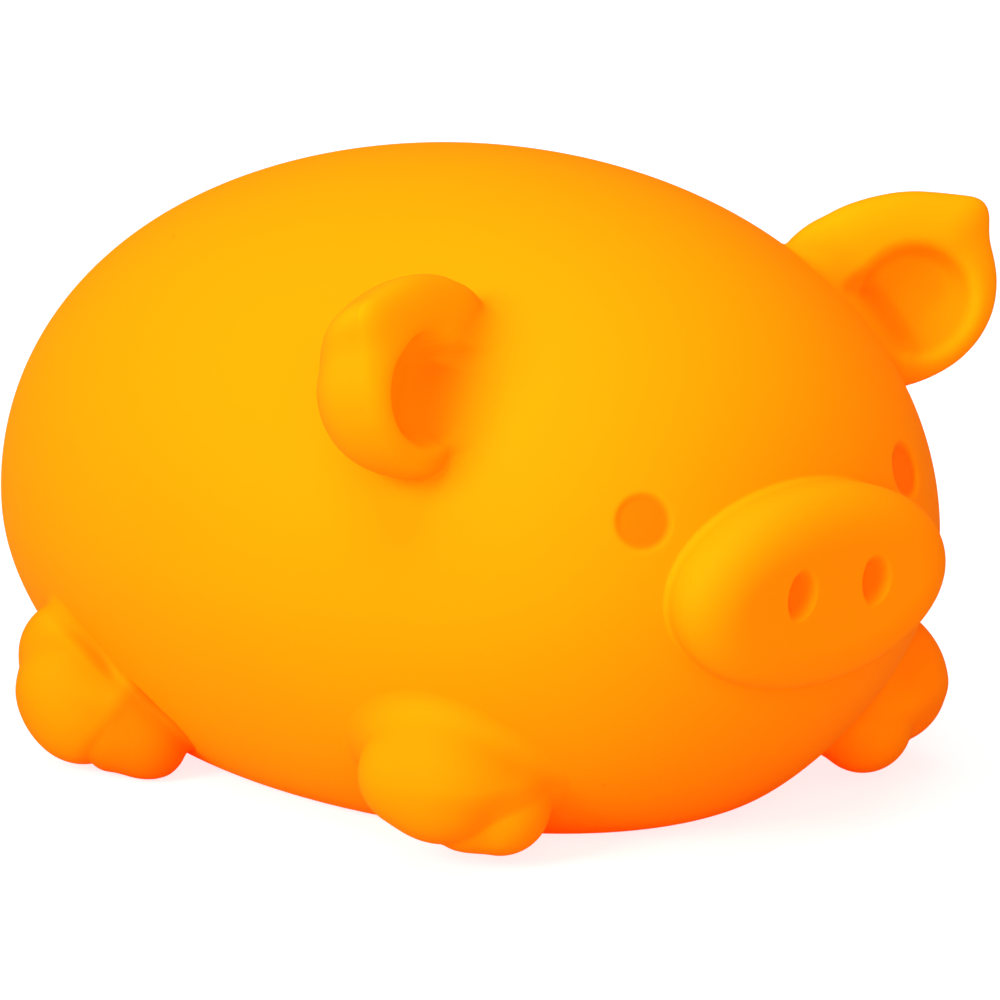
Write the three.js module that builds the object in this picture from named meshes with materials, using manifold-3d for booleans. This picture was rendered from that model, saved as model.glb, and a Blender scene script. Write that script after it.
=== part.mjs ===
// Pig squishy toy: a thick stretchy rubber skin filled with soft dough, with a
// snout, two cupped ears, four two-toed feet and a curled tail moulded onto it.
// Millimetres, +X towards the snout, +Y towards the pig's left, +Z up. The pig
// rests on its flattened belly and its feet, at Z = 0. Its own sizes are taken
// from the middle of the body, and the finished group is set down at the end.
import * as THREE from 'three';
import { mergeVertices } from 'three/addons/utils/BufferGeometryUtils.js';
import Module from 'manifold-3d';

const wasm = await Module();
wasm.setup();

// Body, from its middle: reaches along X, half width, rises and drops in Z
const bodyFrontReach = 50.7;
const bodyRearReach = 59.6;
const bodyHalfWidth = 37.7;
const bodyTopRise = 37.1;
const bodyBellyDrop = 36.4;
const bodyRestHeight = 24.6;
const bodyContactSoftness = 1.2;
const bodyNoseLiftDegrees = 4.8;
const bodyBluntShare = 0.8;
const bellyFullShare = 0.81;
const noseWidenShare = 0.034;
const footprintCut = 0.5;

// Rubber wall and the clearance between neighbouring solids
const skinWall = 2.6;
const seatGap = 0.3;
const cutOverrun = 4;

// Eyes: shallow round dimples in the skin
const eyeRadius = 2.7;
const eyeDepth = 1.2;
const eyeFlare = 0.25;
const eyePoleDegrees = 67.4;
const eyeAroundDegrees = 24.2;

// Filling port in the belly, with its plug and the bead that seals it
const portRadius = 4;
const portRecessRadius = 8;
const portRecessDepth = 1.6;
const portBossRadius = 10.5;
const portBossHeight = 1.6;
const plugFlangeRadius = 6;
const plugRecess = 0.4;
const plugLipRadius = 5.2;
const plugLipHeight = 1.4;
const beadOuterRadius = 7.6;

// Snout: a wide oval drum with a soft edge, leaning a little forward at its top.
// Its face stands proud of the body's front point and a little below it.
const snoutHalfWidth = 16.5;
const snoutHalfHeight = 10.1;
const snoutFaceProud = 4.08;
const snoutFaceDrop = 1.44;
const snoutLength = 17;
const snoutEdgeLength = 3.8;
const snoutEdgeDrawIn = 5.2;
const snoutFlare = 0.1;
const snoutLeanDegrees = 6;
const nostrilHalfWidth = 1.65;
const nostrilHalfHeight = 2.35;
const nostrilDepth = 2.4;
const nostrilSpacing = 9.3;
const nostrilRise = 0.8;
const nostrilLeanDegrees = 4;

// Ear: a deep cupped leaf with a thick rolled rim. Along the ear, across it and
// out of its mouth are its own three directions, from its root on the body's skin.
const earPoleDegrees = 30.75;
const earAroundDegrees = 37.25;
const earAlong = new THREE.Vector3(0.46, 0.69, 0.56).normalize();
const earAcrossHint = new THREE.Vector3(-0.47, -0.21, 0.85);
const earHalfLength = 11.4;
const earHalfWidth = 9.6;
const earCentreAlong = 3.68;
const earCentreAcross = -1.14;
const earTipReach = 2.4;
const earTipDegrees = 9;
const earTipSpreadDegrees = 15;
const earMouthDepth = 7.8;
const earBackDepth = 9.7;
const earRimLift = 3.36;
const earMouthSlopeAlongShare = -0.22;
const earMouthSlopeAcrossShare = 0.36;
const earNeck = 2.7;

// Feet: two round toes on one stubby root. Each place is taken from a point on
// the body's skin in X and Y, and from the ground in Z.
const frontPoleDegrees = 31;
const frontAroundDegrees = -36;
const frontRoot = { place: [-1.49, -1.43, 12.1], radius: 8.2 };
const frontInnerToe = { place: [6.31, -2.63, 6.1], radius: 4.3 };
const frontKnuckle = { place: [1.01, 2.07, 9.1], radius: 6 };
const frontOuterToe = { place: [2.51, 5.07, 7.8], radius: 3.4 };
const rearPoleDegrees = -26.5;
const rearAroundDegrees = -26.5;
const rearRoot = { place: [3.35, -2.9, 10.4], radius: 8.2 };
const rearInnerToe = { place: [8.95, 0.2, 4.4], radius: 4.4 };
const rearKnuckle = { place: [-0.05, 0.4, 9.6], radius: 5.7 };
const rearOuterToe = { place: [2.35, 2.6, 6.2], radius: 5.5 };

// Tail: one small tapering curl on the rump
const tailRootRise = 9;
const tailCurlRadius = 3;
const tailRise = 3.4;
const tailThickness = 1.7;
const tailTipThickness = 0.9;
const tailTurns = 1.2;

// Facet counts
const bodyRows = 30;
const bodyColumns = 44;
const coreRows = 18;
const coreColumns = 28;
const snoutColumns = 40;
const earColumns = 32;
const tailSteps = 18;
const tailSides = 8;
const roundSides = 40;
const toeColumns = 22;
const toeArcSteps = 5;

const degrees = THREE.MathUtils.degToRad;

// Rubber and dough finishes
function rubber(colour, roughness = 0.62) {
  return new THREE.MeshStandardMaterial({ color: colour, roughness, metalness: 0 });
}
const skinRubber = rubber(0xffae0c);
const limbRubber = rubber(0xffa008);
const earRubber = rubber(0xffa60a);
const plugRubber = rubber(0xf08a10, 0.5);
const beadGlue = rubber(0xf6d9a0, 0.3);
const dough = rubber(0xffe0a0, 0.9);

// A closed mesh from rows of points: the first and last rows are single points
function closedForm(rows, columns, pointAt) {
  const points = [pointAt(0, 0)];
  for (let row = 1; row < rows; row++) {
    for (let column = 0; column < columns; column++) {
      points.push(pointAt(row / rows, column / columns));
    }
  }
  points.push(pointAt(1, 0));
  const last = points.length - 1;
  const id = (row, column) => 1 + (row - 1) * columns + (column % columns);
  const faces = [];
  for (let column = 0; column < columns; column++) {
    faces.push([0, id(1, column), id(1, column + 1)]);
    faces.push([last, id(rows - 1, column + 1), id(rows - 1, column)]);
    for (let row = 1; row < rows - 1; row++) {
      faces.push([id(row, column), id(row + 1, column), id(row + 1, column + 1)]);
      faces.push([id(row, column), id(row + 1, column + 1), id(row, column + 1)]);
    }
  }
  return facedOut(points, faces);
}

// Faces are turned round where they give the form a negative volume
function facedOut(points, faces) {
  const volume = faces.reduce((sum, [a, b, c]) => (
    sum + points[a].dot(new THREE.Vector3().crossVectors(points[b], points[c]))), 0);
  const turned = volume < 0 ? faces.map(([a, b, c]) => [a, c, b]) : faces;
  const geometry = new THREE.BufferGeometry();
  geometry.setAttribute('position', new THREE.Float32BufferAttribute(
    points.flatMap((point) => point.toArray()), 3));
  geometry.setIndex(turned.flat());
  return geometry;
}

// Solids for cutting and joining, and back to meshes
function solidOf(geometry) {
  const bare = geometry.clone();
  bare.deleteAttribute('normal');
  bare.deleteAttribute('uv');
  const merged = mergeVertices(bare);
  return new wasm.Manifold(new wasm.Mesh({
    numProp: 3,
    vertProperties: new Float32Array(merged.attributes.position.array),
    triVerts: new Uint32Array(merged.index.array),
  }));
}

function geometryOf(solid) {
  const mesh = solid.getMesh();
  const geometry = new THREE.BufferGeometry();
  geometry.setAttribute('position', new THREE.BufferAttribute(mesh.vertProperties, 3));
  geometry.setIndex(new THREE.BufferAttribute(mesh.triVerts, 1));
  return geometry;
}

// Body form: both ends blunter than an ellipse, flattened where it rests, with
// its nose lifted. A positive inset gives the inside of a wall of that size.
function bodyPoint(poleAngle, aroundAngle, inset = 0) {
  const along = Math.sin(poleAngle);
  const ring = Math.pow(Math.abs(Math.cos(poleAngle)), bodyBluntShare);
  const front = bodyFrontReach - inset;
  const rear = bodyRearReach - inset;
  const x = ((front + rear) * along + (front - rear) * along * along) / 2;
  const y = (bodyHalfWidth - inset) * ring * Math.cos(aroundAngle) * (1 + noseWidenShare * along);
  const lift = ring * Math.sin(aroundAngle);
  const drop = 1 - Math.pow(1 - Math.min(Math.abs(lift), 1), bellyFullShare);
  const z = lift > 0 ? (bodyTopRise - inset) * lift : -(bodyBellyDrop - inset) * drop;
  const point = new THREE.Vector3(x, y, z);
  point.applyAxisAngle(new THREE.Vector3(0, 1, 0), -degrees(bodyNoseLiftDegrees));
  const floor = inset - bodyRestHeight - footprintCut;
  const above = (point.z - floor) / bodyContactSoftness;
  const softened = Math.max(above, 0) + Math.log1p(Math.exp(-Math.abs(above)));
  point.z = floor + bodyContactSoftness * softened;
  return point;
}

function bodyForm(inset, rows = bodyRows, columns = bodyColumns) {
  return solidOf(closedForm(rows, columns, (rowShare, columnShare) => (
    bodyPoint((rowShare - 1 / 2) * Math.PI, columnShare * 2 * Math.PI, inset))));
}

// Everything below the surface that the pig rests on
function groundBlock() {
  const span = 2 * (bodyFrontReach + bodyRearReach);
  const depth = bodyRestHeight;
  const block = new THREE.BoxGeometry(span, span, depth);
  block.translate(0, 0, -bodyRestHeight - depth / 2);
  return solidOf(block);
}

// An upright disc or pin on the port's line, by its lower end and its height
function portDisc(radius, low, height) {
  const disc = new THREE.CylinderGeometry(radius, radius, height, roundSides);
  disc.rotateX(Math.PI / 2);
  disc.translate(0, 0, low + height / 2);
  return solidOf(disc);
}

const portFloor = -bodyRestHeight;
const portShoulder = portFloor + portRecessDepth;
const portInner = portFloor + skinWall + portBossHeight;

function eyeCutter(side) {
  const pole = degrees(eyePoleDegrees);
  const around = degrees(eyeAroundDegrees);
  const step = degrees(1);
  const centre = bodyPoint(pole, around);
  const alongPole = bodyPoint(pole + step, around).sub(centre);
  const alongRound = bodyPoint(pole, around + step).sub(centre);
  const normal = alongRound.cross(alongPole).normalize();
  if (normal.x < 0) normal.negate();
  const height = eyeDepth + cutOverrun;
  const widening = eyeFlare * height / eyeDepth;
  const cutter = new THREE.CylinderGeometry(eyeRadius + widening, eyeRadius, height, roundSides);
  cutter.applyQuaternion(new THREE.Quaternion().setFromUnitVectors(
    new THREE.Vector3(0, 1, 0), normal));
  const middle = centre.addScaledVector(normal, height / 2 - eyeDepth);
  cutter.translate(middle.x, middle.y, middle.z);
  if (side < 0) return mirrored(solidOf(cutter));
  return solidOf(cutter);
}

// The same solid on the pig's other side
function mirrored(solid) {
  return solid.mirror([0, 1, 0]);
}

function bodySkin() {
  const outside = bodyForm(0).subtract(groundBlock());
  const inside = bodyForm(skinWall, coreRows, coreColumns);
  const boss = portDisc(portBossRadius, portFloor + skinWall / 2, portInner - portFloor - skinWall / 2);
  let skin = outside.subtract(inside).add(boss);
  skin = skin.subtract(portDisc(portRadius, portFloor - cutOverrun, portInner - portFloor + 2 * cutOverrun));
  skin = skin.subtract(portDisc(portRecessRadius, portFloor - cutOverrun, portRecessDepth + cutOverrun));
  return skin.subtract(eyeCutter(1)).subtract(eyeCutter(-1));
}

function doughCore() {
  const core = bodyForm(skinWall + seatGap, coreRows, coreColumns);
  const bossRoom = portDisc(portBossRadius + seatGap, portFloor, portInner - portFloor + seatGap);
  const lipTop = portInner + plugLipHeight + 2 * seatGap;
  const lipRoom = portDisc(plugLipRadius + seatGap, portFloor, lipTop - portFloor);
  return core.subtract(bossRoom).subtract(lipRoom);
}

// Plug: outer flange in the recess, stem through the port, lip inside the boss
function fillPlug() {
  const low = portFloor + plugRecess;
  const lipLow = portInner + seatGap;
  const stemRadius = portRadius - seatGap;
  const profile = [
    [0, low], [plugFlangeRadius, low], [plugFlangeRadius, portShoulder], [stemRadius, portShoulder],
    [stemRadius, lipLow], [plugLipRadius, lipLow], [stemRadius, lipLow + plugLipHeight],
    [0, lipLow + plugLipHeight],
  ].map(([radius, height]) => new THREE.Vector2(radius, height));
  const plug = new THREE.LatheGeometry(profile, roundSides);
  plug.rotateX(Math.PI / 2);
  return solidOf(plug);
}

function plugGlueBead() {
  const low = portFloor + plugRecess;
  const ring = portDisc(beadOuterRadius, low, portShoulder - low);
  const hole = portDisc(plugFlangeRadius + seatGap, low - cutOverrun, portShoulder - low + 2 * cutOverrun);
  return ring.subtract(hole);
}

// Snout: oval sections along its axis, from deep in the face to the flat front
function snoutForm() {
  const edgeSteps = 6;
  const profile = [[-snoutLength, 0], [-snoutLength, snoutFlare], [-snoutLength / 2, snoutFlare / 2],
    [-snoutEdgeLength - snoutEdgeLength / 2, snoutFlare / 8]];
  for (let step = 0; step <= edgeSteps; step++) {
    const turn = (step / edgeSteps) * (Math.PI / 2);
    profile.push([snoutEdgeLength * (Math.sin(turn) - 1), snoutEdgeDrawIn * (Math.cos(turn) - 1)]);
  }
  profile.push([0, 0]);
  const rows = profile.length - 1;
  const geometry = closedForm(rows, snoutColumns, (rowShare, columnShare) => {
    const row = Math.round(rowShare * rows);
    const [along, swell] = profile[row];
    const closing = row === 0 || row === rows ? 0 : 1;
    const around = columnShare * 2 * Math.PI;
    return new THREE.Vector3(along, closing * (snoutHalfWidth + swell) * Math.cos(around),
      closing * (snoutHalfHeight + swell) * Math.sin(around));
  });
  return solidOf(placedOnFace(geometry));
}

function placedOnFace(geometry) {
  const nose = bodyPoint(Math.PI / 2, 0);
  geometry.rotateY(degrees(snoutLeanDegrees));
  geometry.translate(nose.x + snoutFaceProud, 0, nose.z - snoutFaceDrop);
  return geometry;
}

function nostrilCutter(side) {
  const height = nostrilDepth + cutOverrun;
  const cutter = new THREE.CylinderGeometry(1, 1, height, roundSides / 2);
  cutter.rotateZ(Math.PI / 2);
  cutter.scale(1, nostrilHalfWidth, nostrilHalfHeight);
  cutter.rotateX(side * degrees(nostrilLeanDegrees));
  cutter.translate(height / 2 - nostrilDepth, side * nostrilSpacing / 2, nostrilRise);
  return solidOf(placedOnFace(cutter));
}

function snout() {
  return snoutForm().subtract(nostrilCutter(1)).subtract(nostrilCutter(-1))
    .subtract(bodyForm(-seatGap));
}

// Ear: rings from the middle of its mouth, over the rolled rim, to its back.
// Each ring gives how far out it lies and how far it drops from the rim's plane.
const earRingShares = [
  [0, 1], [0.45, 0.95], [0.8, 0.72], [0.96, 0.36], [1.08, 0.1],
];
const earBackRingShares = [
  [0.7, 0], [0.86, 0.05], [0.96, 0.2], [1, 0.4], [0.97, 0.6], [0.86, 0.8], [0.62, 0.94], [0.32, 1], [0, 1],
];
const earMouthShare = 0.52;
const earMouthShiftShare = 0.1;
const earTipThinShare = 0.55;

function earForm() {
  const across = earAcrossHint.clone().addScaledVector(earAlong, -earAcrossHint.dot(earAlong)).normalize();
  const out = new THREE.Vector3().crossVectors(earAlong, across);
  const rings = [
    ...earRingShares.map(([radius, depth]) => ({ radius, drop: depth * earMouthDepth, mouth: true })),
    ...earBackRingShares.map(([radius, depth]) => ({ radius, drop: depth * earBackDepth, mouth: false })),
  ];
  const rows = rings.length - 1;
  const root = bodyPoint(degrees(earPoleDegrees), degrees(earAroundDegrees));
  const geometry = closedForm(rows, earColumns, (rowShare, columnShare) => {
    const { radius, drop, mouth } = rings[Math.round(rowShare * rows)];
    const turn = columnShare * 2 * Math.PI;
    const past = turn - degrees(earTipDegrees);
    const fromTip = Math.atan2(Math.sin(past), Math.cos(past));
    const tip = Math.exp(-Math.pow(fromTip / degrees(earTipSpreadDegrees), 2));
    const mouthEdge = earMouthShare - earMouthShiftShare * Math.sin(turn);
    const reach = mouth ? radius * mouthEdge : radius;
    const along = (earHalfLength + (mouth ? 0 : earTipReach * tip)) * reach * Math.cos(turn);
    const aside = earHalfWidth * reach * Math.sin(turn);
    const thin = mouth ? 1 : 1 - earTipThinShare * tip * radius;
    const rise = earRimLift + earMouthSlopeAlongShare * along + earMouthSlopeAcrossShare * aside;
    return root.clone().addScaledVector(earAlong, earCentreAlong + along)
      .addScaledVector(across, earCentreAcross + aside)
      .addScaledVector(out, rise - drop * thin);
  });
  return solidOf(geometry);
}

function leftEar() {
  return earForm().subtract(bodyForm(-2 * seatGap - earNeck));
}

// The soft neck that lets the ear bend, between the skin and the ear
function leftEarNeck() {
  return earForm().intersect(bodyForm(-seatGap - earNeck)).subtract(bodyForm(-seatGap));
}

// Feet: two tapering toes joined at one root, cut by the body and the ground
function taperedToe(anchor, root, tip) {
  const from = anchor.clone().add(new THREE.Vector3(...root.place));
  const to = anchor.clone().add(new THREE.Vector3(...tip.place));
  const length = from.distanceTo(to);
  const lean = Math.asin((root.radius - tip.radius) / length);
  const profile = [];
  for (let step = 0; step <= toeArcSteps; step++) {
    const turn = THREE.MathUtils.lerp(-Math.PI / 2, lean, step / toeArcSteps);
    profile.push(new THREE.Vector2(root.radius * Math.cos(turn), root.radius * Math.sin(turn)));
  }
  for (let step = 0; step <= toeArcSteps; step++) {
    const turn = THREE.MathUtils.lerp(lean, Math.PI / 2, step / toeArcSteps);
    profile.push(new THREE.Vector2(tip.radius * Math.cos(turn), length + tip.radius * Math.sin(turn)));
  }
  profile[0].x = 0;
  profile[profile.length - 1].x = 0;
  const toe = new THREE.LatheGeometry(profile, toeColumns);
  toe.applyQuaternion(new THREE.Quaternion().setFromUnitVectors(
    new THREE.Vector3(0, 1, 0), to.sub(from).normalize()));
  toe.translate(from.x, from.y, from.z);
  return solidOf(toe);
}

function leftFoot(poleDegrees, aroundDegrees, root, innerToe, knuckle, outerToe) {
  const anchor = bodyPoint(degrees(poleDegrees), degrees(aroundDegrees)).setZ(portFloor);
  return taperedToe(anchor, root, innerToe).add(taperedToe(anchor, root, knuckle))
    .add(taperedToe(anchor, knuckle, outerToe))
    .subtract(bodyForm(-seatGap)).subtract(groundBlock());
}

const frontFoot = leftFoot(frontPoleDegrees, frontAroundDegrees,
  frontRoot, frontInnerToe, frontKnuckle, frontOuterToe);
const rearFoot = leftFoot(rearPoleDegrees, rearAroundDegrees,
  rearRoot, rearInnerToe, rearKnuckle, rearOuterToe);

// Tail: a tapering tube on one rising turn, its root buried in the rump
function tail() {
  const root = bodyPoint(-Math.PI / 2, 0);
  const centre = new THREE.Vector3(root.x + tailThickness, 0, root.z + tailRootRise);
  const at = (share) => {
    const turn = share * tailTurns * 2 * Math.PI;
    const radius = tailCurlRadius * (1 - share / 4);
    return new THREE.Vector3(centre.x - share * tailRise - tailThickness,
      centre.y + radius * Math.cos(turn), centre.z + radius * Math.sin(turn));
  };
  const rows = tailSteps + 2;
  const geometry = closedForm(rows, tailSides, (rowShare, columnShare) => {
    const row = Math.round(rowShare * rows);
    const share = THREE.MathUtils.clamp((row - 1) / tailSteps, 0, 1);
    const thick = THREE.MathUtils.lerp(tailThickness, tailTipThickness, share);
    const middle = at(share);
    if (row === 0 || row === rows) return middle;
    const ahead = at(share + 1 / tailSteps).sub(at(share - 1 / tailSteps)).normalize();
    const side = new THREE.Vector3(1, 0, 0).addScaledVector(ahead, -ahead.x).normalize();
    const up = new THREE.Vector3().crossVectors(ahead, side);
    const turn = columnShare * 2 * Math.PI;
    return middle.addScaledVector(side, thick * Math.cos(turn)).addScaledVector(up, thick * Math.sin(turn));
  });
  return solidOf(geometry).subtract(bodyForm(-seatGap));
}

const pig = new THREE.Group();

function place(name, solid, material) {
  const mesh = new THREE.Mesh(geometryOf(solid), material);
  mesh.name = name;
  pig.add(mesh);
}

function placePair(name, leftSolid, material) {
  place(`${name}_left`, leftSolid, material);
  place(`${name}_right`, mirrored(leftSolid), material);
}

place('body_skin', bodySkin(), skinRubber);
place('dough_core', doughCore(), dough);
place('fill_plug', fillPlug(), plugRubber);
place('plug_glue_bead', plugGlueBead(), beadGlue);
place('snout', snout(), limbRubber);
placePair('ear', leftEar(), earRubber);
placePair('ear_neck', leftEarNeck(), earRubber);
placePair('foot_front', frontFoot, limbRubber);
placePair('foot_rear', rearFoot, limbRubber);
place('tail', tail(), limbRubber);

// The origin goes under the middle of the whole pig, on the ground
const box = new THREE.Box3().setFromObject(pig);
const toy = new THREE.Group();
pig.position.set(-(box.min.x + box.max.x) / 2, 0, bodyRestHeight);
toy.add(pig);

export default toy;
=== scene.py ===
import math

import bpy
import numpy as np
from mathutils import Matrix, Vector


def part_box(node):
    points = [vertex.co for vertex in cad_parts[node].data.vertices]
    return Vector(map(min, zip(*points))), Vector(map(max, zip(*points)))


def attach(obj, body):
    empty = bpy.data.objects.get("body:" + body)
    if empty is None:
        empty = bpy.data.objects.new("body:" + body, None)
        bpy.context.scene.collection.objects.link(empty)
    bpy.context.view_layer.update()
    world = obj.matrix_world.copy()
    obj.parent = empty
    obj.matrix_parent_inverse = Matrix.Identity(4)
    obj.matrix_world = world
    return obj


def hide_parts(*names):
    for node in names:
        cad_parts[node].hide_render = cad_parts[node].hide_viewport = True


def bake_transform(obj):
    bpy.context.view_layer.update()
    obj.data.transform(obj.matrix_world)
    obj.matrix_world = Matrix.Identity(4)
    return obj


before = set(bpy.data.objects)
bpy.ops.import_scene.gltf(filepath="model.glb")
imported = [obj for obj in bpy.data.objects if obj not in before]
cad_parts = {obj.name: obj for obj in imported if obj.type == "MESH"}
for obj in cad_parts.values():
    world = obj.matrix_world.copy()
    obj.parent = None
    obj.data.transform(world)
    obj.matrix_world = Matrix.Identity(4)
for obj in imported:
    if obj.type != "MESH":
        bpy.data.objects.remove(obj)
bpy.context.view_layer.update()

# Sizes below are in millimetres from the middle of the body, which stands on the
# plug's upright line. toScene() turns such points into metres in the shared frame.
plugLow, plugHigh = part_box("fill_plug")
restHeight = 24.6
middle = np.array([(plugLow[0] + plugHigh[0]) / 2, 0.0, restHeight / 1000])


def toScene(points):
    return np.asarray(points) / 1000 + middle


# Camera: the photograph's place, 800 mm from the body's middle
camera = {"azimuth": 51.0, "elevation": 13.854, "distance": 800.0, "asideMm": 2.79, "upMm": 1.5, "lens": 288.0}


def makeCamera(values):
    a, e = math.radians(values["azimuth"]), math.radians(values["elevation"])
    back = np.array([math.sin(a) * math.cos(e), -math.cos(a) * math.cos(e), math.sin(e)])
    right = np.array([math.cos(a), math.sin(a), 0.0])
    up = np.cross(back, right)
    data = bpy.data.cameras.new("camera")
    data.sensor_width = 36
    data.lens = values["lens"]
    data.clip_start, data.clip_end = 0.01, 20
    eye = bpy.data.objects.new("camera", data)
    bpy.context.scene.collection.objects.link(eye)
    eye.location = Vector(toScene(values["distance"] * back + values["asideMm"] * right + values["upMm"] * up))
    eye.rotation_mode = "QUATERNION"
    eye.rotation_quaternion = Vector(-back).to_track_quat("-Z", "Y")
    bpy.context.scene.camera = eye


makeCamera(camera)
print("camera placed")


# Mesh helpers
def unit(vectors):
    return vectors / np.maximum(np.linalg.norm(vectors, axis=-1, keepdims=True), 1e-12)


def smoothStep(low, high, value):
    share = np.clip((value - low) / (high - low), 0, 1)
    return share * share * (3 - 2 * share)


def smoothMin(a, b, k):
    # the smaller of two distances, rounded over a width k
    share = np.maximum(k - np.abs(a - b), 0) / k
    return np.minimum(a, b) - share * share * k / 4


def closedGrid(rings, first, last):
    # rings of points (rows, columns, 3) closed by one point at each end, as points,
    # faces with four sides and faces with three
    rows, columns, _ = rings.shape
    points = np.concatenate([rings.reshape(-1, 3), [first], [last]])
    index = np.arange(rows * columns).reshape(rows, columns)
    along = np.roll(index, -1, axis=1)
    quads = np.stack([index[:-1], index[1:], along[1:], along[:-1]], -1).reshape(-1, 4)
    start = np.stack([np.full(columns, rows * columns), index[0], along[0]], -1)
    end = np.stack([np.full(columns, rows * columns + 1), along[-1], index[-1]], -1)
    return points, quads, np.concatenate([start, end])


def wrappedGrid(rings):
    # rings of points that close on themselves in both directions
    index = np.arange(rings.shape[0] * rings.shape[1]).reshape(rings.shape[:2])
    down, beside = np.roll(index, -1, axis=0), np.roll(index, -1, axis=1)
    quads = np.stack([index, down, np.roll(down, -1, axis=1), beside], -1).reshape(-1, 4)
    return rings.reshape(-1, 3), quads, np.zeros((0, 3), int)


def outwards(points, quads, tris):
    # all faces are turned round where they would enclose a negative volume
    volume = 0.0
    for a, b, c in ((0, 1, 2), (0, 2, 3)):
        volume += np.einsum("ij,ij->", points[quads[:, a]], np.cross(points[quads[:, b]], points[quads[:, c]]))
    volume += np.einsum("ij,ij->", points[tris[:, 0]], np.cross(points[tris[:, 1]], points[tris[:, 2]]))
    if volume < 0:
        return quads[:, ::-1], tris[:, ::-1]
    return quads, tris


def makePiece(name, shells, material, body=None, layers=None):
    # one mesh object from closed grids in millimetres; each layer holds a number for
    # every point
    allPoints, allQuads, allTris, count = [], [], [], 0
    for points, quads, tris in shells:
        quads, tris = outwards(points, quads, tris)
        allPoints.append(points)
        allQuads.append(quads + count)
        allTris.append(tris + count)
        count += len(points)
    points = toScene(np.concatenate(allPoints))
    quads, tris = np.concatenate(allQuads), np.concatenate(allTris)
    corners = np.concatenate([quads.ravel(), tris.ravel()])
    totals = np.concatenate([np.full(len(quads), 4), np.full(len(tris), 3)])
    mesh = bpy.data.meshes.new(name)
    mesh.vertices.add(len(points))
    mesh.vertices.foreach_set("co", points.astype(np.float32).ravel())
    mesh.loops.add(len(corners))
    mesh.loops.foreach_set("vertex_index", corners.astype(np.int32))
    mesh.polygons.add(len(totals))
    mesh.polygons.foreach_set("loop_start", (np.cumsum(totals) - totals).astype(np.int32))
    mesh.polygons.foreach_set("loop_total", totals.astype(np.int32))
    mesh.update(calc_edges=True)
    mesh.validate()
    mesh.shade_smooth()
    for label, values in (layers or {}).items():
        layer = mesh.attributes.new(label, "FLOAT", "POINT")
        layer.data.foreach_set("value", np.concatenate(values).astype(np.float32))
    piece = bpy.data.objects.new(name, mesh)
    bpy.context.scene.collection.objects.link(piece)
    mesh.materials.append(material)
    if body:
        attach(piece, body)
    print(name, len(points), "points")
    return piece


# Shader maths: a socket with the usual operators, and one method for any node
class Wire:
    def __init__(self, sheet, socket):
        self.sheet, self.socket = sheet, socket

    def maths(self, operation, *others, swap=False):
        inputs = [self, *others]
        if swap:
            inputs = inputs[::-1]
        return self.sheet.node("ShaderNodeMath", {"operation": operation}, dict(enumerate(inputs)))

    def __add__(self, other): return self.maths("ADD", other)
    def __radd__(self, other): return self.maths("ADD", other)
    def __sub__(self, other): return self.maths("SUBTRACT", other)
    def __rsub__(self, other): return self.maths("SUBTRACT", other, swap=True)
    def __mul__(self, other): return self.maths("MULTIPLY", other)
    def __rmul__(self, other): return self.maths("MULTIPLY", other)

    def ramp(self, low, high):
        # 0 below low, 1 above high, smooth between
        return self.sheet.node("ShaderNodeMapRange", {"interpolation_type": "SMOOTHSTEP"},
                               {"Value": self, "From Min": low, "From Max": high}, "Result")


class Sheet:
    # a material's node sheet
    def __init__(self, name):
        self.material = bpy.data.materials.new(name)
        self.material.use_nodes = True
        self.tree = self.material.node_tree
        self.tree.nodes.clear()

    def node(self, kind, settings=None, inputs=None, output=0):
        made = self.tree.nodes.new(kind)
        for key, value in (settings or {}).items():
            setattr(made, key, value)
        for key, value in (inputs or {}).items():
            if isinstance(value, Wire):
                self.tree.links.new(value.socket, made.inputs[key])
            else:
                made.inputs[key].default_value = value
        return Wire(self, made.outputs[output]) if len(made.outputs) else made

    def blendColours(self, share, first, second):
        made = self.tree.nodes.new("ShaderNodeMix")
        made.data_type = "RGBA"
        for socket, value in ((made.inputs[0], share), (made.inputs[6], first), (made.inputs[7], second)):
            if isinstance(value, Wire):
                self.tree.links.new(value.socket, socket)
            else:
                socket.default_value = value
        return Wire(self, made.outputs[2])

    def place(self):
        return self.node("ShaderNodeTexCoord", output="Object")

    def noise(self, scale, detail=2.0, roughness=0.5):
        return self.node("ShaderNodeTexNoise", {}, {"Vector": self.place(), "Scale": scale, "Detail": detail,
                                                    "Roughness": roughness}, 0)

    def finish(self, shader):
        self.node("ShaderNodeOutputMaterial", {}, {"Surface": shader})
        return self.material


def colour(red, green, blue):
    # sRGB numbers from 0 to 255 as a linear colour
    channels = [value / 255 for value in (red, green, blue)]
    return [c / 12.92 if c <= 0.04045 else ((c + 0.055) / 1.055) ** 2.4 for c in channels] + [1.0]


# Orange rubber: the base colour deepens towards a darker colour with a per-point
# attribute, painted shade in hollows, creases, the eyes and the feet; with faint cloudy
# changes and fine dust specks; matte, with a very fine powdery grain. It glows a little
# red all over, a painted glow that keeps shaded sides bright, and more where the "thin"
# attribute rises, a painted glow for light shining through the ears
rubberLook = {
    # glow and thinPaintedGlow are painted glow, an emission that stands in for light in the rubber
    "lit": colour(255, 172, 5), "deep": colour(255, 128, 1), "paintedGlow": [0.5, 0.006, 0.0, 1.0],
    "thinPaintedGlow": [0.5, 0.065, 0.0, 1.0],
    "roughness": 0.72, "sheen": 0.03, "ior": 1.42,
    "cloudScale": 55.0, "cloudShade": 0.10, "cloudRough": 0.16, "grainScale": 2600.0, "grainRough": 0.08,
    "dustScale": 420.0, "dustPatch": 0.35, "dustShare": 0.35, "dustLift": 0.8, "dustTone": colour(214, 120, 20),
    "bumpStrength": 0.10, "bumpDistance": 0.00006,
}


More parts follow.
